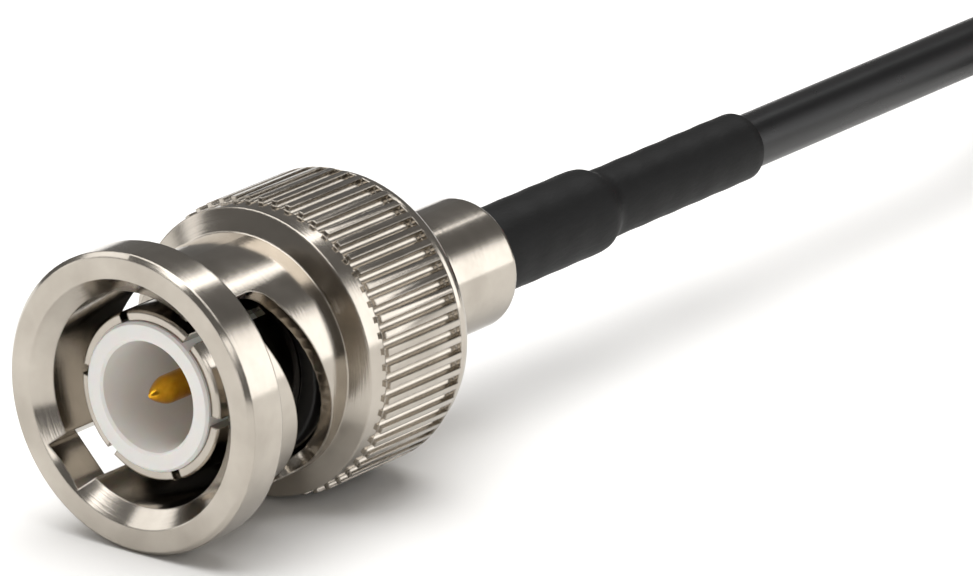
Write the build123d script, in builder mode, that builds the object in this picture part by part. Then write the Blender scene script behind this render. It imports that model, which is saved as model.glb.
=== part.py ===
# A bayonet (BNC pattern) test lead: crimped coaxial plug, thin coax, heat-shrunk split
# and two spring hook clips. X runs from the plug's open face along the lead, Z is up,
# Y completes the frame. Lengths along the plug are stations, counted from its open face.
from math import pi, radians, sin, tan
import os

from build123d import *

# driving dimensions, mm
# coupling nut
flange_radius = 7.25
flange_length = 2.2
face_bevel = 0.22
mouth_radius = 6.0
mouth_depth = 0.8
nut_bore_radius = 5.2
barrel_radius = 5.9
shoulder_station = 8.7
shoulder_rise = 0.4
band_radius = 7.0
knurl_station = 10.2
knurl_length = 5.4
knurl_radius = 7.25
knurl_depth = 0.36
knurl_groove_radius = 0.26
knurl_count = 56
nut_length = 16.8
nut_rear_round = 0.7
cavity_radius = 6.2
cavity_station = 9.6
# bayonet track: it climbs from the end of each entry groove to its lock a quarter turn away
track_width = 2.5
groove_floor_radius = 5.75
entry_angles = (-46.0, 134.0)
track_station = 4.5
track_rise = 2.3
track_turn = 90
track_steps = 15
lock_radius = 1.35
# plug body
body_flange_radius = 5.9
body_flange_station = 10.8
body_flange_length = 1.5
body_front_radius = 4.9
body_front_station = 8.6
neck_radius = 4.4
neck_end_station = 17.2
collar_radius = 3.25
collar_end_station = 25.3
collar_round = 0.35
stem_radius = 1.1
stem_bore_radius = 0.8
stem_end_station = 32.5
# contacts and insulators
contact_radius = 4.1
contact_seat_radius = 3.85
contact_free_end_station = 7.4
contact_wall = 0.5
contact_station = 1.5
contact_end_station = 11.5
contact_bevel = 0.12
finger_length = 5.2
finger_gap = 0.5
finger_count = 6
finger_turn = 23.0
insulator_bore_radius = 2.68
insulator_station = 1.25
insulator_floor_station = 9.4
insulator_end_station = 13.0
rear_insulator_radius = 3.2
rear_insulator_end_station = 18.5
pin_radius = 0.675
pin_seat_radius = 0.5
pin_tip_station = 1.5
pin_tip_length = 1.3
pin_free_end_station = 9.1
pin_shoulder_radius = 1.05
pin_shoulder_length = 0.9
pin_end_station = 18.2
pin_socket_depth = 3.2
# seal, spring washers, thrust washer, retaining ring
gasket_thickness = 0.9
gasket_lip = 0.15
spring_washer_clearance = 0.3
spring_washer_outer_radius = 5.85
spring_washer_thickness = 0.3
thrust_washer_thickness = 0.6
thrust_washer_radius = 6.0
ring_groove_radius = 6.45
ring_inner_radius = 4.75
ring_thickness = 0.5
# cable and its ferrule and sleeve
jacket_radius = 1.4
braid_radius = 1.0
dielectric_radius = 0.76
conductor_radius = 0.24
ferrule_radius = 1.95
ferrule_wall = 0.35
ferrule_station = 22.0
ferrule_end_station = 35.0
sleeve_wall = 0.2
sleeve_end_station = 47.5
sleeve_narrow_radius = 1.75
sleeve_step_length = 0.8
jacket_cut_station = 33.2
# hank of coax
hank_fold_radius = 8.4
hank_lobe_station = 92.5
hank_lobe_spacing = 30.8
hank_centre_y = -6.0
hank_layers = 4
hank_columns = 2
tie_width = 6.0
tie_wall = 0.35
# split sleeve, leads and clips
split_radius = 2.5
split_length = 10.0
split_round = 0.7
split_y = -14.0
split_station = 112.0
lead_radius = 0.75
lead_pitch = 1.8
clip_grip_radius = 3.6
clip_body_radius = 3.0
clip_cap_radius = 3.2
clip_bevel = 0.3
clip_flange_length = 1.5
clip_station = 95.5
clip_boot_length = 4.5
clip_cap_length = 5.0
clip_travel = 5.5
clip_barrel_length = 24.0
clip_nose_length = 9.0
clip_nose_radius = 2.0
clip_nose_bore = 1.45
clip_chamber_radius = 2.3
clip_chamber_length = 12.0
clip_stem_radius = 1.1
clip_wire_radius = 0.32
hook_bend_radius = 0.75
hook_return = 1.8
clip_spring_radius = 1.75
clip_spring_wire = 0.2
clip_spring_turns = 9
clip_y = {"red": 4.7, "black": -2.7}
running_gap = 0.05
seat_gap = 0.02

# places worked out from them
axis_height = flange_radius
plug_length = sleeve_end_station
centre_station = plug_length / 2
plug_axis = Axis((0, 0, axis_height), (1, 0, 0))
cable_diameter = 2 * jacket_radius
hank_outer_fold = hank_fold_radius + (hank_columns - 1) * cable_diameter
hank_outline_radius = hank_outer_fold + jacket_radius
hank_height = hank_layers * cable_diameter
hank_waist_half = hank_columns * cable_diameter + seat_gap
hank_centre_station = hank_lobe_station + hank_lobe_spacing / 2
split_height = hank_height + split_radius + running_gap
clip_height = hank_height + clip_grip_radius + running_gap
lead_rest_height = hank_height + lead_radius + running_gap

# free routes, each a list of (station, y, height)
cable_route = [
    (sleeve_end_station, 0, axis_height),
    (74.0, 0, axis_height),
    (88.0, 7.4, 2.4),
    (98.0, 4.9, jacket_radius),
]
cable_end_route = [
    (130.0, -13.6, 9.7),
    (124.0, -14.4, 10.4),
    (117.8, -14.2, 12.8),
    (split_station, split_y, split_height),
]
lead_start_station = split_station - split_length
lead_routes = {
    "red": [
        (lead_start_station, split_y - lead_pitch / 2, split_height),
        (94.5, -16.2, 12.5),
        (84.4, -15.0, lead_rest_height),
        (80.8, -7.8, lead_rest_height),
        (82.2, 0.5, 12.3),
        (88.2, 4.7, 13.6),
        (clip_station + 0.8, clip_y["red"], clip_height),
    ],
    "black": [
        (lead_start_station, split_y + lead_pitch / 2, split_height),
        (94.6, -13.4, 12.7),
        (87.8, -13.0, lead_rest_height + 0.1),
        (84.7, -10.0, lead_rest_height),
        (84.7, -5.8, 12.3),
        (87.8, -2.8, 13.2),
        (clip_station + 0.8, clip_y["black"], clip_height),
    ],
}


def at(station, radius=0.0):
    """A point of a turned profile, in the XZ plane."""
    return (station - centre_station, axis_height + radius)


def place(station, y, height):
    return Vector(station - centre_station, y, height)


def bend_radii(points):
    """The largest tangent arc each corner of a route has room for."""
    radii = []
    for before, corner, after in zip(points, points[1:], points[2:]):
        turn = (corner - before).get_angle(after - corner)
        run = min((corner - before).length, (after - corner).length)
        radii.append(0.45 * run / tan(radians(turn / 2)))
    return radii


os.makedirs("parts", exist_ok=True)


def save(piece, label):
    piece.part.label = label
    export_step(piece.part, f"parts/{label}.step")


# coupling nut: flange, slotted barrel, knurled grip and the cavity behind the shoulder
ring_station = nut_length - nut_rear_round / 2 - ring_thickness - 0.05
knurl_end_station = knurl_station + knurl_length
with BuildPart() as coupling_nut:
    with BuildSketch(Plane.XZ):
        with BuildLine():
            Polyline(
                at(0, mouth_radius),
                at(0, flange_radius - face_bevel),
                at(face_bevel, flange_radius),
                at(flange_length, flange_radius),
                at(flange_length, barrel_radius),
                at(shoulder_station, barrel_radius),
                at(shoulder_station + shoulder_rise, band_radius),
                at(knurl_station, band_radius),
                at(knurl_station, knurl_radius),
                at(knurl_end_station, knurl_radius),
                at(knurl_end_station + face_bevel, band_radius),
                at(nut_length - nut_rear_round, band_radius),
            )
            RadiusArc(
                at(nut_length - nut_rear_round, band_radius),
                at(nut_length, band_radius - nut_rear_round),
                nut_rear_round,
            )
            Polyline(
                at(nut_length, band_radius - nut_rear_round),
                at(nut_length, cavity_radius),
                at(ring_station + ring_thickness, cavity_radius),
                at(ring_station + ring_thickness, ring_groove_radius),
                at(ring_station, ring_groove_radius),
                at(ring_station, cavity_radius),
                at(cavity_station, cavity_radius),
                at(cavity_station, nut_bore_radius),
                at(mouth_depth, nut_bore_radius),
                at(0, mouth_radius),
            )
        make_face()
    revolve(axis=plug_axis)

    # straight knurl: round-bottomed grooves between flat-topped teeth
    with BuildSketch(Plane.YZ.offset(knurl_station - 0.01 - centre_station)):
        with Locations((0, axis_height)):
            with PolarLocations(knurl_radius + knurl_groove_radius - knurl_depth, knurl_count):
                Circle(knurl_groove_radius)
    extrude(amount=knurl_length, mode=Mode.SUBTRACT)

    # bayonet: two straight entry grooves and the helical tracks that end in round locks
    for entry in entry_angles:
        spin = Plane((-centre_station, 0, axis_height), x_dir=(1, 0, 0), z_dir=(0, 0, 1))
        side = spin.rotated((-entry, 0, 0))
        with BuildSketch(side):
            with Locations((flange_length / 2, 0)):
                Rectangle(flange_length + 0.02, track_width)
        extrude(amount=groove_floor_radius, mode=Mode.SUBTRACT)
        with BuildSketch(side):
            with Locations(((flange_length + track_station) / 2, 0)):
                Rectangle(track_station - flange_length, track_width)
        extrude(amount=flange_radius, mode=Mode.SUBTRACT)
        for step in range(track_steps):
            turns = [track_turn * (step + end) / track_steps for end in (0, 1)]
            stations = [track_station + track_rise * sin(radians(turn)) for turn in turns]
            half_arc = barrel_radius * tan(radians((turns[1] - turns[0]) / 2))
            with BuildSketch(spin.rotated((sum(turns) / 2 - entry, 0, 0))):
                with BuildLine(mode=Mode.PRIVATE) as centre_line:
                    Line((stations[0], half_arc), (stations[1], -half_arc))
                SlotCenterPoint(centre_line.line @ 0.5, centre_line.line @ 0, track_width)
            extrude(amount=flange_radius, mode=Mode.SUBTRACT)
        with BuildSketch(spin.rotated((track_turn - entry, 0, 0))):
            with Locations((track_station + track_rise, 0)):
                Circle(lock_radius)
        extrude(amount=flange_radius, mode=Mode.SUBTRACT)
save(coupling_nut, "coupling_nut")


# retaining ring and thrust washer, both round
with BuildPart() as retaining_ring:
    with BuildSketch(Plane.XZ):
        with BuildLine():
            Polyline(
                at(ring_station + seat_gap, ring_inner_radius),
                at(ring_station + seat_gap, ring_groove_radius - running_gap),
                at(ring_station + ring_thickness - seat_gap, ring_groove_radius - running_gap),
                at(ring_station + ring_thickness - seat_gap, ring_inner_radius),
                close=True,
            )
        make_face()
    revolve(axis=plug_axis)
save(retaining_ring, "retaining_ring")

thrust_station = ring_station - thrust_washer_thickness - 0.06
with BuildPart() as thrust_washer:
    with BuildSketch(Plane.XZ):
        with BuildLine():
            Polyline(
                at(thrust_station, neck_radius + running_gap),
                at(thrust_station, thrust_washer_radius),
                at(thrust_station + thrust_washer_thickness, thrust_washer_radius),
                at(thrust_station + thrust_washer_thickness, neck_radius + running_gap),
                close=True,
            )
        make_face()
    revolve(axis=plug_axis)
save(thrust_washer, "thrust_washer")

# two cone-shaped spring washers, rim to rim, between the body's flange and the thrust washer
flange_rear_station = body_flange_station + body_flange_length
spring_room = thrust_station - flange_rear_station
cone = spring_room / 2 - spring_washer_thickness
spring_washer_inner_radius = neck_radius + spring_washer_clearance
with BuildPart() as spring_washers:
    with BuildSketch(Plane.XZ):
        for start, way in ((flange_rear_station, 1), (thrust_station, -1)):
            with BuildLine():
                Polyline(
                    at(start + way * seat_gap, spring_washer_inner_radius),
                    at(start + way * (cone + seat_gap), spring_washer_outer_radius),
                    at(start + way * (cone + spring_washer_thickness - seat_gap), spring_washer_outer_radius),
                    at(start + way * spring_washer_thickness, spring_washer_inner_radius),
                    close=True,
                )
            make_face()
    revolve(axis=plug_axis)
save(spring_washers, "spring_washers")

# plug body: contact socket, pull flange, neck, collar and the crimp stem, one turning
socket_floor_station = contact_end_station
collar_bore_station = ferrule_station - 0.1
with BuildPart() as plug_body:
    with BuildSketch(Plane.XZ):
        with BuildLine():
            Polyline(
                at(body_front_station, contact_seat_radius),
                at(body_front_station, body_front_radius),
                at(body_flange_station, body_front_radius),
                at(body_flange_station, body_flange_radius),
                at(flange_rear_station, body_flange_radius),
                at(flange_rear_station, neck_radius),
                at(neck_end_station, neck_radius),
                at(neck_end_station + neck_radius - collar_radius, collar_radius),
                at(collar_end_station - collar_round, collar_radius),
            )
            RadiusArc(
                at(collar_end_station - collar_round, collar_radius),
                at(collar_end_station, collar_radius - collar_round),
                collar_round,
            )
            Polyline(
                at(collar_end_station, collar_radius - collar_round),
                at(collar_end_station, ferrule_radius + sleeve_wall),
                at(collar_bore_station, ferrule_radius + sleeve_wall),
                at(collar_bore_station, stem_radius),
                at(stem_end_station, stem_radius),
                at(stem_end_station, stem_bore_radius),
                at(rear_insulator_end_station, stem_bore_radius),
                at(rear_insulator_end_station, rear_insulator_radius),
                at(insulator_end_station, rear_insulator_radius),
                at(socket_floor_station, rear_insulator_radius),
                at(socket_floor_station, contact_seat_radius),
                at(body_front_station, contact_seat_radius),
            )
        make_face()
    revolve(axis=plug_axis)
save(plug_body, "plug_body")

# outer contact: a sleeve slit into spring fingers, its seat turned down behind the gasket
gasket_station = body_front_station - gasket_thickness
gasket_radius = body_front_radius - 0.1
with BuildPart() as outer_contact:
    with BuildSketch(Plane.XZ):
        with BuildLine():
            Polyline(
                at(contact_station, contact_radius - contact_wall),
                at(contact_station, contact_radius - contact_bevel),
                at(contact_station + contact_bevel, contact_radius),
                at(contact_free_end_station, contact_radius),
                at(contact_free_end_station, contact_seat_radius),
                at(socket_floor_station, contact_seat_radius),
                at(socket_floor_station, contact_radius - contact_wall),
                close=True,
            )
        make_face()
    revolve(axis=plug_axis)
    for finger in range(finger_count):
        slit = Plane((contact_station - centre_station, 0, axis_height), x_dir=(1, 0, 0), z_dir=(0, 0, 1))
        with BuildSketch(slit.rotated((-(finger_turn + finger * 360 / finger_count), 0, 0))):
            Rectangle(2 * finger_length, finger_gap)
        extrude(amount=flange_radius, mode=Mode.SUBTRACT)
save(outer_contact, "outer_contact")

with BuildPart() as gasket:
    with BuildSketch(Plane.XZ):
        with BuildLine():
            Polyline(
                at(gasket_station, contact_seat_radius),
                at(gasket_station, gasket_radius),
                at(body_front_station, gasket_radius),
                at(body_front_station, contact_seat_radius),
                close=True,
            )
        make_face()
    revolve(axis=plug_axis)
    fillet(gasket.edges().filter_by(GeomType.CIRCLE).group_by(Axis.X)[0], gasket_lip)
save(gasket, "gasket")

# insulators: the open white tube in front, the plain bush behind the pin's shoulder
shoulder_start = insulator_end_station - pin_shoulder_length
insulator_radius = contact_radius - contact_wall
with BuildPart() as front_insulator:
    with BuildSketch(Plane.XZ):
        with BuildLine():
            Polyline(
                at(insulator_station, insulator_bore_radius + contact_bevel),
                at(insulator_station, insulator_radius - contact_bevel),
                at(insulator_station + contact_bevel, insulator_radius),
                at(socket_floor_station, insulator_radius),
                at(socket_floor_station, rear_insulator_radius),
                at(insulator_end_station, rear_insulator_radius),
                at(insulator_end_station, pin_shoulder_radius),
                at(shoulder_start, pin_shoulder_radius),
                at(shoulder_start, pin_seat_radius),
                at(insulator_floor_station, pin_seat_radius),
                at(insulator_floor_station, insulator_bore_radius),
                at(insulator_station + contact_bevel, insulator_bore_radius),
                close=True,
            )
        make_face()
    revolve(axis=plug_axis)
save(front_insulator, "front_insulator")

with BuildPart() as rear_insulator:
    with BuildSketch(Plane.XZ):
        with BuildLine():
            Polyline(
                at(insulator_end_station, pin_radius),
                at(insulator_end_station, rear_insulator_radius),
                at(rear_insulator_end_station, rear_insulator_radius),
                at(rear_insulator_end_station, dielectric_radius),
                at(pin_end_station, dielectric_radius),
                at(pin_end_station, pin_radius),
                close=True,
            )
        make_face()
    revolve(axis=plug_axis)
save(rear_insulator, "rear_insulator")

# centre pin: ogive tip, shoulder and a drilled tail for the conductor
tip_end_station = pin_tip_station + pin_tip_length
with BuildPart() as centre_pin:
    with BuildSketch(Plane.XZ):
        with BuildLine():
            Spline(
                at(pin_tip_station, 0.1),
                at(pin_tip_station + pin_tip_length * 0.45, pin_radius * 0.7),
                at(tip_end_station, pin_radius),
                tangents=((1, 1), (1, 0)),
            )
            Polyline(
                at(tip_end_station, pin_radius),
                at(pin_free_end_station, pin_radius),
                at(pin_free_end_station, pin_seat_radius),
                at(shoulder_start, pin_seat_radius),
                at(shoulder_start, pin_shoulder_radius),
                at(insulator_end_station, pin_shoulder_radius),
                at(insulator_end_station, pin_radius),
                at(pin_end_station, pin_radius),
                at(pin_end_station, conductor_radius),
                at(pin_end_station - pin_socket_depth, conductor_radius),
                at(pin_end_station - pin_socket_depth, 0),
                at(pin_tip_station, 0),
                at(pin_tip_station, 0.1),
            )
        make_face()
    revolve(axis=plug_axis)
save(centre_pin, "centre_pin")


# the cable's own layers inside the plug, each stripped back further than the last
def layer(start, end, outer, inner):
    with BuildPart() as piece:
        with BuildSketch(Plane.YZ.offset(start - centre_station)):
            with Locations((0, axis_height)):
                Circle(outer)
                if inner > 0:
                    Circle(inner, mode=Mode.SUBTRACT)
        extrude(amount=end - start)
    return piece


layers = {
    "inner_conductor": (pin_end_station - pin_socket_depth, sleeve_end_station, conductor_radius, 0),
    "cable_dielectric": (pin_end_station, sleeve_end_station, dielectric_radius, conductor_radius),
    "jacket_end": (jacket_cut_station, sleeve_end_station, jacket_radius, braid_radius),
}
for label, sizes in layers.items():
    save(layer(*sizes), label)

# the braid flares from the dielectric over the stem, under the ferrule
ferrule_inner_radius = ferrule_radius - ferrule_wall
with BuildPart() as cable_braid:
    with BuildSketch(Plane.XZ):
        with BuildLine():
            Polyline(
                at(ferrule_station, stem_radius),
                at(ferrule_station, ferrule_inner_radius),
                at(stem_end_station, ferrule_inner_radius),
                at(jacket_cut_station, braid_radius + 0.1),
                at(jacket_cut_station, braid_radius),
                at(sleeve_end_station, braid_radius),
                at(sleeve_end_station, dielectric_radius),
                at(stem_end_station + 0.1, dielectric_radius),
                at(stem_end_station, stem_radius),
                close=True,
            )
        make_face()
    revolve(axis=plug_axis)
save(cable_braid, "cable_braid")

save(layer(ferrule_station, ferrule_end_station, ferrule_radius, ferrule_inner_radius), "crimp_ferrule")

# heat-shrunk sleeve: wide over the ferrule, a soft step, narrow over the jacket
sleeve_radius = ferrule_radius + sleeve_wall
narrow_start = ferrule_end_station + sleeve_step_length
with BuildPart() as heat_shrink_sleeve:
    with BuildSketch(Plane.XZ):
        with BuildLine():
            Line(at(ferrule_station, ferrule_radius), at(ferrule_station, sleeve_radius))
            Line(at(ferrule_station, sleeve_radius), at(ferrule_end_station - 0.2, sleeve_radius))
            Spline(
                at(ferrule_end_station - 0.2, sleeve_radius),
                at(narrow_start, sleeve_narrow_radius),
                tangents=((1, 0), (1, 0)),
            )
            Polyline(
                at(narrow_start, sleeve_narrow_radius),
                at(sleeve_end_station, sleeve_narrow_radius),
                at(sleeve_end_station, jacket_radius),
                at(ferrule_end_station, jacket_radius),
                at(ferrule_end_station, ferrule_radius),
                at(ferrule_station, ferrule_radius),
            )
        make_face()
    revolve(axis=plug_axis)
save(heat_shrink_sleeve, "heat_shrink_sleeve")


# free cords: straight runs joined by tangent arcs
def cord(route, radius):
    points = [place(*p) for p in route]
    radii = bend_radii(points)
    with BuildPart() as piece:
        with BuildLine() as path:
            FilletPolyline(*points, radius=radii)
        with BuildSketch(Plane(origin=points[0], z_dir=points[1] - points[0])):
            Circle(radius)
        sweep()
    length = path.wires()[0].length
    drift = piece.part.volume / (length * pi * radius**2)
    print("cord length", round(length, 1), "volume ratio", round(drift, 4))
    return piece


save(cord(cable_route, jacket_radius), "coax_cable")
save(cord(cable_end_route, jacket_radius), "coax_end")
for colour, route in lead_routes.items():
    save(cord(route, lead_radius), f"{colour}_lead")

# hank: the outer shape of the folded turns, pinched where the tie grips it
hank_centre = (hank_centre_station - centre_station, hank_centre_y, 0)
lobe_offset = hank_lobe_spacing / 2
tie_half = tie_width / 2 + 0.4
with BuildPart() as coax_hank:
    with BuildSketch(Plane(hank_centre)):
        with Locations((-lobe_offset, 0), (lobe_offset, 0)):
            Circle(hank_outline_radius)
        with BuildLine():
            Polyline(
                (-lobe_offset, hank_outline_radius),
                (-tie_half, hank_waist_half),
                (tie_half, hank_waist_half),
                (lobe_offset, hank_outline_radius),
                (lobe_offset, -hank_outline_radius),
                (tie_half, -hank_waist_half),
                (-tie_half, -hank_waist_half),
                (-lobe_offset, -hank_outline_radius),
                close=True,
            )
        make_face()
    extrude(amount=hank_height)
    # the tie squeezes the turns here, so its strap lies level with them above and below
    for level in (0, hank_height - tie_wall):
        with BuildSketch(Plane(hank_centre).offset(level)):
            Rectangle(2 * tie_half, 2 * hank_waist_half + 1)
        extrude(amount=tie_wall, mode=Mode.SUBTRACT)
save(coax_hank, "coax_hank")

with BuildPart() as hank_tie:
    with BuildSketch(Plane.YZ.offset(hank_centre[0] - tie_width / 2)):
        with Locations((hank_centre_y, hank_height / 2)):
            RectangleRounded(2 * hank_waist_half + 2 * tie_wall, hank_height, tie_wall)
            Rectangle(2 * hank_waist_half, hank_height - 2 * tie_wall, mode=Mode.SUBTRACT)
    extrude(amount=tie_width)
save(hank_tie, "hank_tie")

# split sleeve where the coax ends and the two leads begin
with BuildPart() as split_sleeve:
    with BuildSketch(Plane.YZ.offset(lead_start_station - centre_station)):
        with Locations((split_y, split_height)):
            Circle(split_radius)
    extrude(amount=split_length)
    fillet(split_sleeve.edges().filter_by(GeomType.CIRCLE), split_round)
save(split_sleeve, "split_sleeve")

# spring hook clips, tips pointing away from the leads
cap_start = clip_station + clip_boot_length
cap_end = cap_start + clip_cap_length
barrel_start = cap_end + clip_travel + 0.3
barrel_end = barrel_start + clip_barrel_length
chamber_end = barrel_start + clip_chamber_length
stem_end = barrel_end - clip_nose_length + 4.0
hook_reach = barrel_end + 0.6


def along(station, radius=0.0):
    return (station - centre_station, radius)


for colour, y in clip_y.items():
    axis_plane = Plane((0, y, clip_height), x_dir=(1, 0, 0), z_dir=(0, -1, 0))
    clip_axis = Axis((0, y, clip_height), (1, 0, 0))

    # core: lead boot, thumb cap and the stem that carries the hook
    with BuildPart() as clip_core:
        with BuildSketch(axis_plane):
            with BuildLine():
                Polyline(
                    along(clip_station),
                    along(clip_station, lead_radius + 0.5),
                    along(cap_start - 0.8, clip_cap_radius * 0.62),
                    along(cap_start, clip_cap_radius - clip_bevel),
                    along(cap_start + clip_bevel, clip_cap_radius),
                    along(cap_end - clip_bevel, clip_cap_radius),
                    along(cap_end, clip_cap_radius - clip_bevel),
                    along(cap_end, clip_stem_radius),
                    along(stem_end, clip_stem_radius),
                    along(stem_end),
                    close=True,
                )
            make_face()
        revolve(axis=clip_axis)
    save(clip_core, f"{colour}_clip_core")

    # barrel: finger flange, waisted grip and a tapering nose, bored for spring and hook
    with BuildPart() as clip_barrel:
        with BuildSketch(axis_plane):
            with BuildLine():
                Polyline(
                    along(barrel_start, clip_chamber_radius),
                    along(barrel_start, clip_grip_radius - clip_bevel),
                    along(barrel_start + clip_bevel, clip_grip_radius),
                    along(barrel_start + clip_flange_length, clip_grip_radius),
                    along(barrel_start + 1.5 * clip_flange_length, clip_body_radius),
                    along(barrel_end - clip_nose_length, clip_body_radius),
                    along(barrel_end - clip_nose_length + 3.0, clip_nose_radius + 0.25),
                    along(barrel_end - clip_bevel, clip_nose_radius),
                    along(barrel_end, clip_nose_radius - 0.2),
                    along(barrel_end, clip_nose_bore),
                    along(chamber_end, clip_nose_bore),
                    along(chamber_end, clip_chamber_radius),
                    close=True,
                )
            make_face()
        revolve(axis=clip_axis)
    save(clip_barrel, f"{colour}_clip_barrel")

    # hook: a wire from the stem's end, turned back on itself in front of the nose
    with BuildPart() as clip_hook:
        with BuildLine(axis_plane):
            Line(along(stem_end, -hook_bend_radius), along(hook_reach, -hook_bend_radius))
            RadiusArc(
                along(hook_reach, -hook_bend_radius),
                along(hook_reach, hook_bend_radius),
                -hook_bend_radius,
            )
            Line(along(hook_reach, hook_bend_radius), along(hook_reach - hook_return, hook_bend_radius))
        hook_root = (stem_end - centre_station, y, clip_height - hook_bend_radius)
        with BuildSketch(Plane(hook_root, z_dir=(1, 0, 0))):
            Circle(clip_wire_radius)
        sweep()
    save(clip_hook, f"{colour}_clip_hook")

    # return spring between the cap and the end of the barrel's chamber
    spring_start = cap_end + clip_spring_wire + seat_gap
    spring_end = chamber_end - clip_spring_wire - seat_gap
    spring_length = spring_end - spring_start
    with BuildPart() as clip_spring:
        with BuildLine() as coil:
            Helix(
                pitch=spring_length / clip_spring_turns,
                height=spring_length,
                radius=clip_spring_radius,
                center=(spring_start - centre_station, y, clip_height),
                direction=(1, 0, 0),
            )
        with BuildSketch(Plane(coil.line @ 0, z_dir=coil.line % 0)):
            Circle(clip_spring_wire)
        sweep(is_frenet=True)
    save(clip_spring, f"{colour}_clip_spring")
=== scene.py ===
from math import cos, pi, radians, sin

import bpy
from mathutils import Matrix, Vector


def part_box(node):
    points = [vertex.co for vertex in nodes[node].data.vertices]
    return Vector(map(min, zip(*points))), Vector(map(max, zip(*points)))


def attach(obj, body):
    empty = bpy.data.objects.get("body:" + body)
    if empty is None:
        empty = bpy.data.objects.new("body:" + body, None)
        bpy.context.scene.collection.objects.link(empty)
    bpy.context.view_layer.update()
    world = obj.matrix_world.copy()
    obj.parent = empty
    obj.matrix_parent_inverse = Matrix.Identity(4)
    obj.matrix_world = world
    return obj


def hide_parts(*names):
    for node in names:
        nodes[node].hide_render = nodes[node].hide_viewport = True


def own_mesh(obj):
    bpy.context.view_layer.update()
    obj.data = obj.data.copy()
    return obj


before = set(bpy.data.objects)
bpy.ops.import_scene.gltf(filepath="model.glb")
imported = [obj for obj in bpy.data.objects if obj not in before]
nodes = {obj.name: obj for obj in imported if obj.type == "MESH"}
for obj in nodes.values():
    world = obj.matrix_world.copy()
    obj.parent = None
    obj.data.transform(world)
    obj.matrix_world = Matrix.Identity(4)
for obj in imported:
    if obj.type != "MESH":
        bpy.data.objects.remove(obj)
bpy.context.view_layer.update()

# A bayonet coaxial plug on a thin black cable, with a red and a black hook clip at the far end.
# X runs from the plug's open face along the cable, Z is up, everything is in metres.
mm = 0.001
nutLow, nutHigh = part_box("coupling_nut")
openFace = nutLow[0]
axisHeight = (nutLow[2] + nutHigh[2]) / 2


def spot(along, across, height):  # millimetres from the open face, across, and above the floor
    return Vector((openFace + along * mm, across * mm, height * mm))


def toLinear(hexColour):
    channels = [int(hexColour[i:i + 2], 16) / 255 for i in (1, 3, 5)]
    return [c / 12.92 if c <= 0.04045 else ((c + 0.055) / 1.055) ** 2.4 for c in channels] + [1.0]


def addNode(tree, kind, settings=None, values=None, links=None):
    node = tree.nodes.new(kind)
    for name, value in (settings or {}).items():
        setattr(node, name, value)
    for socket, value in (values or {}).items():
        node.inputs[socket].default_value = value
    for socket, source in (links or {}).items():
        tree.links.new(source, node.inputs[socket])
    return node


def startMaterial(name):
    material = bpy.data.materials.new(name)
    material.use_nodes = True
    material.node_tree.nodes.clear()
    return material, material.node_tree


# Nickel plate over turned brass: warm mid grey and sharp, the lathe's rings still showing through the plating.
nickelPlate = {"dark": "#9A9389", "light": "#C6BFB5", "ringPitch": 0.11 * mm, "ringDepth": 0.0022 * mm,
               "rough": (0.10, 0.26), "edge": 0.12 * mm, "cloud": 2.2 * mm}


def makeNickel(name, look):
    material, tree = startMaterial(name)
    place = addNode(tree, "ShaderNodeTexCoord")
    # rings round the plug's axis, so the noise runs on distance along it and out from it
    parts = addNode(tree, "ShaderNodeSeparateXYZ", links={0: place.outputs["Object"]})
    lift = addNode(tree, "ShaderNodeMath", {"operation": "SUBTRACT"}, {1: axisHeight}, {0: parts.outputs["Z"]})
    flat = addNode(tree, "ShaderNodeCombineXYZ", links={"Y": parts.outputs["Y"], "Z": lift.outputs[0]})
    radius = addNode(tree, "ShaderNodeVectorMath", {"operation": "LENGTH"}, links={0: flat.outputs[0]})
    angle = addNode(tree, "ShaderNodeMath", {"operation": "ARCTAN2"},
                    links={0: parts.outputs["Y"], 1: lift.outputs[0]})
    slow = addNode(tree, "ShaderNodeMath", {"operation": "MULTIPLY"}, {1: look["ringPitch"] * 2},
                   {0: angle.outputs[0]})
    where = addNode(tree, "ShaderNodeCombineXYZ",
                    links={"X": parts.outputs["X"], "Y": radius.outputs["Value"], "Z": slow.outputs[0]})
    rings = addNode(tree, "ShaderNodeTexNoise",
                    values={"Scale": 1 / look["ringPitch"], "Detail": 3.0, "Roughness": 0.65},
                    links={"Vector": where.outputs[0]})
    clouds = addNode(tree, "ShaderNodeTexNoise", values={"Scale": 1 / look["cloud"], "Detail": 4.0},
                     links={"Vector": place.outputs["Object"]})
    tone = addNode(tree, "ShaderNodeMix", {"data_type": "RGBA"},
                   {6: toLinear(look["dark"]), 7: toLinear(look["light"])},
                   {0: clouds.outputs["Fac"]})
    blend = addNode(tree, "ShaderNodeMath", {"operation": "MULTIPLY"},
                    links={0: rings.outputs["Fac"], 1: clouds.outputs["Fac"]})
    rough = addNode(tree, "ShaderNodeMapRange", values={3: look["rough"][0], 4: look["rough"][1]},
                    links={0: blend.outputs[0]})
    edge = addNode(tree, "ShaderNodeBevel", {"samples": 4}, {"Radius": look["edge"]})
    bump = addNode(tree, "ShaderNodeBump", values={"Strength": 1.0, "Distance": look["ringDepth"]},
                   links={"Height": rings.outputs["Fac"], "Normal": edge.outputs[0]})
    shader = addNode(tree, "ShaderNodeBsdfPrincipled", values={"Metallic": 1.0},
                     links={"Base Color": tone.outputs[2], "Roughness": rough.outputs[0], "Normal": bump.outputs[0]})
    addNode(tree, "ShaderNodeOutputMaterial", links={"Surface": shader.outputs["BSDF"]})
    return material


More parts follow.
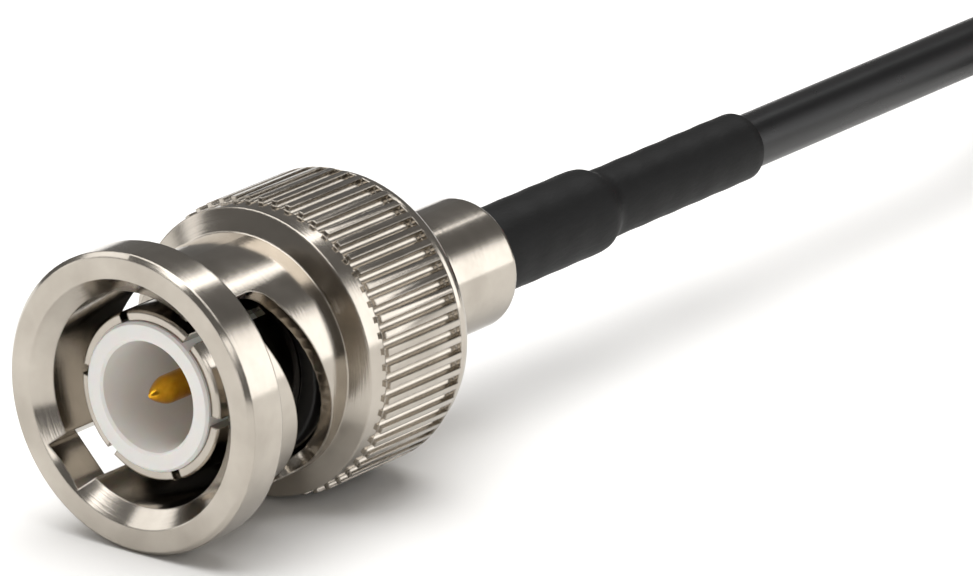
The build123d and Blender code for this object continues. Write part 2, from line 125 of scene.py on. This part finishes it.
# every other finish is a moulded, rolled or extruded grain, told apart by colour, gloss, grain size and depth
def makeGrained(name, look):
    material, tree = startMaterial(name)
    place = addNode(tree, "ShaderNodeTexCoord")
    stretch = addNode(tree, "ShaderNodeMapping", values={"Scale": look.get("stretch", (1, 1, 1))},
                      links={"Vector": place.outputs["Object"]})
    grain = addNode(tree, "ShaderNodeTexNoise", values={"Scale": 1 / look["grain"], "Detail": 4.0, "Roughness": 0.6},
                    links={"Vector": stretch.outputs[0]})
    patches = addNode(tree, "ShaderNodeTexNoise", values={"Scale": 1 / look.get("patch", 3 * mm), "Detail": 2.0},
                      links={"Vector": place.outputs["Object"]})
    tone = addNode(tree, "ShaderNodeMix", {"data_type": "RGBA"},
                   {6: toLinear(look["dark"]), 7: toLinear(look["light"])},
                   {0: patches.outputs["Fac"]})
    rough = addNode(tree, "ShaderNodeMapRange", values={3: look["rough"][0], 4: look["rough"][1]},
                    links={0: patches.outputs["Fac"]})
    bump = addNode(tree, "ShaderNodeBump", values={"Strength": 1.0, "Distance": look["depth"]},
                   links={"Height": grain.outputs["Fac"]})
    shader = addNode(tree, "ShaderNodeBsdfPrincipled", values=look.get("extra"),
                     links={"Base Color": tone.outputs[2], "Roughness": rough.outputs[0], "Normal": bump.outputs[0]})
    addNode(tree, "ShaderNodeOutputMaterial", links={"Surface": shader.outputs["BSDF"]})
    return material


grainedLooks = {
    # gold flashed over a turned brass pin: deep yellow, mirror bright, with a few darker pits
    "gold flash": {"dark": "#B87A12", "light": "#E3AE34", "rough": (0.16, 0.32), "grain": 0.12 * mm,
                   "depth": 0.003 * mm, "patch": 0.35 * mm, "extra": {"Metallic": 1.0}},
    # turned PTFE: milky white and waxy, light sinks a little way in
    "turned ptfe": {"dark": "#EAE7E3", "light": "#F5F3F0", "rough": (0.36, 0.48), "grain": 0.15 * mm,
                    "depth": 0.002 * mm,
                    "extra": {"IOR": 1.38, "Subsurface Weight": 0.3, "Subsurface Scale": 0.5 * mm}},
    # shrunk polyolefin: dead matt black with the faint ripples of shrinking
    "shrunk polyolefin": {"dark": "#060606", "light": "#0B0B0B", "rough": (0.46, 0.58), "grain": 0.45 * mm,
                          "depth": 0.03 * mm, "stretch": (0.35, 1, 1),
                          "extra": {"IOR": 1.45, "Specular IOR Level": 0.22}},
    # extruded PVC jacket: near black with a soft sheen drawn out along its length
    "extruded pvc": {"dark": "#070708", "light": "#0C0C0D", "rough": (0.24, 0.32), "grain": 0.4 * mm,
                     "depth": 0.006 * mm, "stretch": (0.2, 1, 1),
                     "extra": {"IOR": 1.53, "Specular IOR Level": 0.35}},
    # red silicone wire: dusty and soft, its highlights never sharp
    "silicone wire red": {"dark": "#8E1210", "light": "#AD1B16", "rough": (0.42, 0.5), "grain": 0.3 * mm,
                          "depth": 0.004 * mm, "extra": {"IOR": 1.41}},
    # black silicone wire: the same soft surface in charcoal
    "silicone wire black": {"dark": "#161616", "light": "#212120", "rough": (0.42, 0.5), "grain": 0.3 * mm,
                            "depth": 0.004 * mm, "extra": {"IOR": 1.41}},
    # moulded ABS in red: even colour, soft gloss, the mould's spark-eroded grain
    "moulded abs red": {"dark": "#960D10", "light": "#B01418", "rough": (0.28, 0.36), "grain": 0.18 * mm,
                        "depth": 0.008 * mm, "extra": {"IOR": 1.53}},
    # moulded ABS in black: the same gloss and grain
    "moulded abs black": {"dark": "#121212", "light": "#1C1C1C", "rough": (0.28, 0.36), "grain": 0.18 * mm,
                          "depth": 0.008 * mm, "extra": {"IOR": 1.53}},
    # moulded silicone seal: flat black, so the gap behind the contact stays dark
    "silicone seal": {"dark": "#0E0D0C", "light": "#171513", "rough": (0.5, 0.6), "grain": 0.3 * mm,
                      "depth": 0.005 * mm, "extra": {"IOR": 1.41}},
    # plain spring steel: cool grey and half bright
    "spring steel": {"dark": "#777776", "light": "#989897", "rough": (0.22, 0.34), "grain": 0.08 * mm,
                     "depth": 0.002 * mm, "extra": {"Metallic": 1.0}},
    # crimped nickelled copper: duller than the plug and dented by the tool
    "crimped nickel copper": {"dark": "#A8A097", "light": "#BDB6AD", "rough": (0.25, 0.4), "grain": 0.2 * mm,
                              "depth": 0.004 * mm, "extra": {"Metallic": 1.0}},
    # tinned braid: a glitter of fine wires
    "tinned braid": {"dark": "#8F8C88", "light": "#C4C1BC", "rough": (0.3, 0.42), "grain": 0.12 * mm,
                     "depth": 0.03 * mm, "extra": {"Metallic": 1.0}},
    # bare copper strand: salmon pink and bright
    "bare copper": {"dark": "#A9603F", "light": "#C4744C", "rough": (0.22, 0.32), "grain": 0.1 * mm,
                    "depth": 0.003 * mm, "extra": {"Metallic": 1.0}},
    # natural polyethylene: cloudy and greasy to look at
    "natural polyethylene": {"dark": "#D9D8D2", "light": "#E6E5E0", "rough": (0.3, 0.4), "grain": 0.3 * mm,
                             "depth": 0.003 * mm,
                             "extra": {"IOR": 1.51, "Subsurface Weight": 0.3, "Subsurface Scale": 0.4 * mm}},
    # woven hook-and-loop strap: furry black that swallows the light
    "hook and loop strap": {"dark": "#101010", "light": "#1D1D1E", "rough": (0.8, 0.9), "grain": 0.16 * mm,
                            "depth": 0.08 * mm, "extra": {"IOR": 1.5, "Sheen Weight": 0.5}},
    # white seamless paper: a chalky sweep with a barely seen tooth
    "seamless paper": {"dark": "#EFEEEC", "light": "#F4F3F1", "rough": (0.85, 0.95), "grain": 0.5 * mm,
                       "depth": 0.01 * mm, "patch": 60 * mm, "extra": {"IOR": 1.45}},
}
materials = {name: makeGrained(name, look) for name, look in grainedLooks.items()}
materials["nickel plate"] = makeNickel("nickel plate", nickelPlate)
print("materials made:", len(materials))

finishOf = {
    "coupling_nut": "nickel plate", "plug_body": "nickel plate", "outer_contact": "nickel plate",
    "thrust_washer": "nickel plate", "retaining_ring": "spring steel",
    "gasket": "silicone seal", "front_insulator": "turned ptfe", "rear_insulator": "turned ptfe",
    "centre_pin": "gold flash", "crimp_ferrule": "crimped nickel copper", "cable_braid": "tinned braid",
    "cable_dielectric": "natural polyethylene", "inner_conductor": "bare copper", "jacket_end": "extruded pvc",
    "hank_tie": "hook and loop strap", "red_clip_hook": "spring steel", "black_clip_hook": "spring steel",
}
for name, finish in finishOf.items():
    nodes[name].data.materials.clear()
    nodes[name].data.materials.append(materials[finish])
print("finishes on", len(finishOf), "solid pieces")


lathe = {"rounds": 96, "sharpAbove": 40}
centre = 0.001  # a radius next to nothing, where a solid outline meets its axis


# a closed outline of (station, radius) spun round X
def turned(name, profile, across, height, finish, flutes=None):
    vertices = []
    for step in range(lathe["rounds"]):
        angle = 2 * pi * step / lathe["rounds"]
        for station, radius in profile:
            if flutes and flutes["from"] < station < flutes["to"] and radius > flutes["above"]:
                radius -= flutes["depth"] * (0.5 + 0.5 * cos(flutes["count"] * angle))
            vertices.append(spot(station, across + radius * cos(angle), height + radius * sin(angle)))
    count = len(profile)
    faces = []
    for step in range(lathe["rounds"]):
        near, far = step * count, (step + 1) % lathe["rounds"] * count
        for i in range(count):
            after = (i + 1) % count
            faces.append((near + i, near + after, far + after, far + i))
    return finishPiece(name, vertices, faces, finish)


def finishPiece(name, vertices, faces, finish):
    mesh = bpy.data.meshes.new(name)
    mesh.from_pydata(vertices, [], faces)
    for polygon in mesh.polygons:
        polygon.use_smooth = True
    mesh.set_sharp_from_angle(angle=radians(lathe["sharpAbove"]))
    piece = bpy.data.objects.new(name, mesh)
    bpy.context.scene.collection.objects.link(piece)
    mesh.materials.append(materials[finish])
    return piece


# heat-shrunk sleeve: drawn in round the ferrule's end, with rolled lips and a little unevenness along it
shrink = {"start": 22.0, "end": 47.5, "step": 35.0, "wide": 2.15, "narrow": 1.75, "over": 1.95, "inside": 1.4,
          "lip": 0.14, "lipDrops": (0.02, 0.06), "rearDrop": 0.05, "sag": 0.02, "sagPitch": 2.3,
          "drawBefore": 0.3, "drawLength": 1.2, "sample": 0.3, "samples": 83}


def shrinkRadius(station):
    share = min(1, max(0, (station - shrink["step"] + shrink["drawBefore"]) / shrink["drawLength"]))
    base = shrink["wide"] - (shrink["wide"] - shrink["narrow"]) * (0.5 - 0.5 * cos(pi * share))
    return base - shrink["sag"] * (0.5 + 0.5 * sin(2 * pi * station / shrink["sagPitch"]))


shrinkStations = [shrink["start"] + shrink["sample"] * i for i in range(1, shrink["samples"] + 1)]
shrinkOutline = [(shrink["start"], shrink["over"]), (shrink["start"], shrink["wide"] - shrink["rearDrop"])]
shrinkOutline += [(station, shrinkRadius(station)) for station in shrinkStations]
shrinkOutline += [(shrink["end"] - shrink["lip"], shrink["narrow"] - shrink["lipDrops"][0]),
                  (shrink["end"] - 0.3 * shrink["lip"], shrink["narrow"] - shrink["lipDrops"][1]),
                  (shrink["end"], shrink["narrow"] - shrink["lip"]), (shrink["end"], shrink["inside"]),
                  (shrink["step"], shrink["inside"]), (shrink["step"], shrink["over"])]
sleeve = turned("heatShrinkSleeve", shrinkOutline, 0, axisHeight / mm, "shrunk polyolefin")
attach(sleeve, "plug")
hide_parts("heat_shrink_sleeve")

# split sleeve: the same tube shrunk over the joint, bulging where the two wires leave the coax
split = {"start": 102.0, "end": 112.0, "across": -14.0, "height": 13.75, "radius": 2.5, "waist": 0.35,
         "wireSideWaist": 0.4, "mouth": 0.72, "shoulders": 12, "samples": 30}
splitOutline = [(split["start"], centre)]
for i in range(split["samples"] + 1):
    share = i / split["samples"]
    shoulder = min(1, share * split["shoulders"], (1 - share) * split["shoulders"])
    hollow = split["waist"] * sin(pi * share) ** 2 * (1 if share > 0.5 else split["wireSideWaist"])
    bulge = split["radius"] * (split["mouth"] + (1 - split["mouth"]) * (1 - (1 - shoulder) ** 2) ** 0.5)
    splitOutline.append((split["start"] + share * (split["end"] - split["start"]), bulge - hollow))
splitOutline.append((split["end"], centre))
splitSleeve = turned("splitSleeve", splitOutline, split["across"], split["height"], "shrunk polyolefin")
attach(splitSleeve, "plug")
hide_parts("split_sleeve")
print("sleeves made")

# hook clips: a ringed boot and fluted thumb cap on the core, and a barrel with a flange and grip rings
clip = {"height": 14.85, "across": {"red": 4.7, "black": -2.7}, "stem": 1.1, "boot": (95.6, 1.25), "bootTaper": 0.19,
        "bootRings": (96.7, 97.9, 99.1), "gripRings": (115.2, 116.6, 118.0, 119.4, 120.8, 122.2)}
coreOutline = [(95.5, centre), (95.5, 1.15), clip["boot"]]
for ring in clip["bootRings"]:
    rise = clip["boot"][1] + (ring - clip["boot"][0]) * clip["bootTaper"]
    coreOutline += [(ring - 0.3, rise), (ring - 0.2, rise - 0.2), (ring + 0.2, rise - 0.16), (ring + 0.3, rise + 0.1)]
coreOutline += [(99.9, 2.1), (100.0, 2.9), (100.1, 3.05), (100.3, 3.2), (100.5, 3.2), (104.5, 3.2), (104.7, 3.2),
                (104.9, 3.05), (105.0, 2.9), (105.0, clip["stem"]), (129.8, clip["stem"]), (129.8, centre)]
capFlutes = {"from": 100.4, "to": 104.6, "above": 3.0, "depth": 0.28, "count": 16}
barrelOutline = [(110.8, 2.3), (110.8, 3.3), (110.88, 3.5), (111.1, 3.6), (112.0, 3.6), (112.25, 3.52), (112.6, 3.2),
                 (113.05, 3.0), (114.6, 3.0)]
for ring in clip["gripRings"]:
    barrelOutline += [(ring - 0.35, 3.0), (ring - 0.22, 2.78), (ring + 0.22, 2.78), (ring + 0.35, 3.0)]
barrelOutline += [(125.8, 3.0), (126.6, 2.86), (128.0, 2.45), (128.8, 2.25), (134.3, 2.0), (134.62, 1.97), (134.8, 1.8),
                  (134.8, 1.45), (122.8, 1.45), (122.8, 2.3)]
clipPieces = {}
for colour, across in clip["across"].items():
    core = turned(colour + "ClipCore", coreOutline, across, clip["height"], "moulded abs " + colour, capFlutes)
    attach(core, "plug")
    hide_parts(colour + "_clip_core")
    barrel = turned(colour + "ClipBarrel", barrelOutline, across, clip["height"], "moulded abs " + colour)
    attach(barrel, colour + "_clip_barrel")
    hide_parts(colour + "_clip_barrel")
    clipPieces[colour + "Core"], clipPieces[colour + "Barrel"] = core, barrel

# return springs: nine open turns of round wire between the cap and the end of the barrel's chamber
coil = {"start": 105.24, "end": 122.56, "turns": 9, "radius": 1.75, "wire": 0.2, "steps": 40, "sides": 10}
for colour, across in clip["across"].items():
    rings = coil["turns"] * coil["steps"]
    vertices, faces = [], []
    for step in range(rings + 1):
        turn = 2 * pi * step / coil["steps"]
        station = coil["start"] + (coil["end"] - coil["start"]) * step / rings
        for side in range(coil["sides"]):
            lean = 2 * pi * side / coil["sides"]
            out = coil["radius"] + coil["wire"] * cos(lean)
            vertices.append(spot(station + coil["wire"] * sin(lean), across + out * cos(turn),
                                 clip["height"] + out * sin(turn)))
            if step < rings:
                near, far, after = step * coil["sides"], (step + 1) * coil["sides"], (side + 1) % coil["sides"]
                faces.append((near + side, near + after, far + after, far + side))
    faces.append(tuple(range(coil["sides"] - 1, -1, -1)))
    faces.append(tuple(rings * coil["sides"] + side for side in range(coil["sides"])))
    spring = finishPiece(colour + "ClipSpring", vertices, faces, "spring steel")
    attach(spring, "plug")
    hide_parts(colour + "_clip_spring")
    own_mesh(spring)
    clipPieces[colour + "Spring"] = spring
print("clips made")

# spring washers: two cones rim to rim, built at rest, though pulling the nut back presses them flatter
washerOutline = [(12.32, 4.7), (13.49, 5.85), (14.05, 5.85), (15.22, 4.7), (14.94, 4.7), (13.77, 5.79), (12.6, 4.7)]
springWashers = turned("springWashers", washerOutline, 0, axisHeight / mm, "spring steel")
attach(springWashers, "plug")
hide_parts("spring_washers")
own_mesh(springWashers)
print("springs made")


def makeCord(name, points, diameter, finish):
    data = bpy.data.curves.new(name, "CURVE")
    data.dimensions = "3D"
    data.bevel_depth = diameter / 2
    data.bevel_resolution = 6
    data.resolution_u = 10
    line = data.splines.new("NURBS")
    line.points.add(len(points) - 1)
    for knot, point in zip(line.points, points):
        knot.co = (*point, 1.0)
    line.order_u = 3
    line.use_endpoint_u = True
    data.use_fill_caps = True
    piece = bpy.data.objects.new(name, data)
    bpy.context.scene.collection.objects.link(piece)
    data.materials.append(materials[finish])
    return piece


coax = {"diameter": 2.8, "length": 1.06}
# one cable: out of the heat-shrunk sleeve, down to the floor, round the hank and up to the split sleeve
coaxRoute = [(47.5, 0, 7.25), (62.0, 0, 7.25), (74.0, 0, 7.25), (88.0, 7.4, 2.4)]
coaxEndRoute = [(124.0, -14.4, 10.4), (117.8, -14.2, 12.8), (112.0, -14.0, 13.75)]
hank = {"layers": 4, "columns": (11.2, 8.4), "waists": (4.2, 1.4), "lobeSpacing": 30.8, "centre": (107.9, -6.0),
        "waistHalf": 3.3, "squeeze": 0.917, "cornerOut": 1.05,
        "lobeAngles": (110, 73, 36.5, 0, -36.5, -73, -110), "entryShare": 0.35}


def hankTurn(foldRadius, waist, height, lastHalf):
    lobe = hank["lobeSpacing"] / 2
    middle = hank["layers"] * coax["diameter"] / 2
    squeezed = middle + (height - middle) * hank["squeeze"]
    reach = foldRadius * hank["cornerOut"]
    half = [(-hank["waistHalf"], waist, squeezed), (hank["waistHalf"], waist, squeezed)]
    half += [(lobe + reach * cos(radians(a)), reach * sin(radians(a)), height) for a in hank["lobeAngles"]]
    other = [(-x, -y, z) for x, y, z in half]
    turn = half if lastHalf else half + other
    return [(hank["centre"][0] + x, hank["centre"][1] + y, z) for x, y, z in turn]


def coaxPoints():
    points = list(coaxRoute)
    lobe = hank["lobeSpacing"] / 2
    outer = hank["columns"][0]
    entry = hank["centre"][0] - lobe + hank["entryShare"] * outer
    points.append((entry, hank["centre"][1] + outer, coax["diameter"] / 2))
    for layer in range(hank["layers"]):
        for column, (fold, waist) in enumerate(zip(hank["columns"], hank["waists"])):
            last = layer == hank["layers"] - 1 and column == 1
            points += hankTurn(fold, waist, (layer + 0.5) * coax["diameter"], last)
    return points[:-1] + coaxEndRoute


cable = makeCord("coax", [spot(*p) for p in coaxPoints()], coax["diameter"] * mm, "extruded pvc")
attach(cable, "plug")
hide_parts("coax_cable", "coax_hank", "coax_end")

# the split's two thin wires run back over the hank to their clips
leads = {
    "red": [(102.0, -14.9, 13.75), (94.5, -16.2, 12.5), (84.4, -15.0, 12.0), (80.8, -7.8, 12.0),
            (82.2, 0.5, 12.3), (88.2, 4.7, 13.6), (96.3, 4.7, 14.85)],
    "black": [(102.0, -13.1, 13.75), (94.6, -13.4, 12.7), (87.8, -13.0, 12.1), (84.7, -10.0, 12.0),
              (84.7, -5.8, 12.3), (87.8, -2.8, 13.2), (96.3, -2.7, 14.85)],
}
leadSizes = {"diameter": 1.5, "lengths": {"red": 0.048, "black": 0.035}}
for colour, route in leads.items():
    lead = makeCord(colour + "Lead", [spot(*p) for p in route], leadSizes["diameter"] * mm, "silicone wire " + colour)
    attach(lead, "plug")
    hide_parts(colour + "_lead")
print("cords made")

floorMesh = bpy.data.meshes.new("floor")
half = 3.0
floorMesh.from_pydata([(-half, -half, 0), (half, -half, 0), (half, half, 0), (-half, half, 0)], [], [(0, 1, 2, 3)])
floor = bpy.data.objects.new("floor", floorMesh)
bpy.context.scene.collection.objects.link(floor)
floorMesh.materials.append(materials["seamless paper"])

cameraPlace = {"azimuth": -52.6, "elevation": 19.2, "distance": 0.414, "lens": 334.3, "aim": (11.34, -11.94, 12.32)}
aim = spot(*cameraPlace["aim"])
turn, tilt = radians(cameraPlace["azimuth"]), radians(cameraPlace["elevation"])
back = Vector((sin(turn) * cos(tilt), -cos(turn) * cos(tilt), sin(tilt)))
camera = bpy.data.objects.new("camera", bpy.data.cameras.new("camera"))
bpy.context.scene.collection.objects.link(camera)
camera.location = aim + back * cameraPlace["distance"]
camera.rotation_euler = (-back).to_track_quat("-Z", "Y").to_euler()
camera.data.lens = cameraPlace["lens"]
camera.data.clip_start = 0.01
bpy.context.scene.camera = camera


def softBox(name, direction, distance, width, height, power, target):
    data = bpy.data.lights.new(name, "AREA")
    data.shape = "RECTANGLE"
    data.size, data.size_y, data.energy = width, height, power
    light = bpy.data.objects.new(name, data)
    bpy.context.scene.collection.objects.link(light)
    towards = Vector(direction).normalized()
    light.location = target + towards * distance
    light.rotation_euler = (-towards).to_track_quat("-Z", "Y").to_euler()


# a big soft top light, a tall strip on either side and a small one before the open face
plugMiddle = spot(15, 0, 7)
softBox("overhead", (0.1, 0.1, 1.0), 0.6, 0.8, 0.8, 6.8, plugMiddle)
softBox("rightStrip", (0.75, -0.75, 0.32), 0.6, 0.22, 0.5, 0.8, plugMiddle)
softBox("leftStrip", (-0.4, 1.0, 0.5), 0.6, 0.3, 0.5, 0.8, plugMiddle)
softBox("front", (-1.0, -0.7, 0.35), 0.7, 0.15, 0.4, 0.4, plugMiddle)

world = bpy.data.worlds.new("studio")
bpy.context.scene.world = world
world.use_nodes = True
world.node_tree.nodes["Background"].inputs["Color"].default_value = toLinear("#F2F0EE")
world.node_tree.nodes["Background"].inputs["Strength"].default_value = 0.22
bpy.context.scene.view_settings.view_transform = "Standard"
print("stage, lights and camera set")
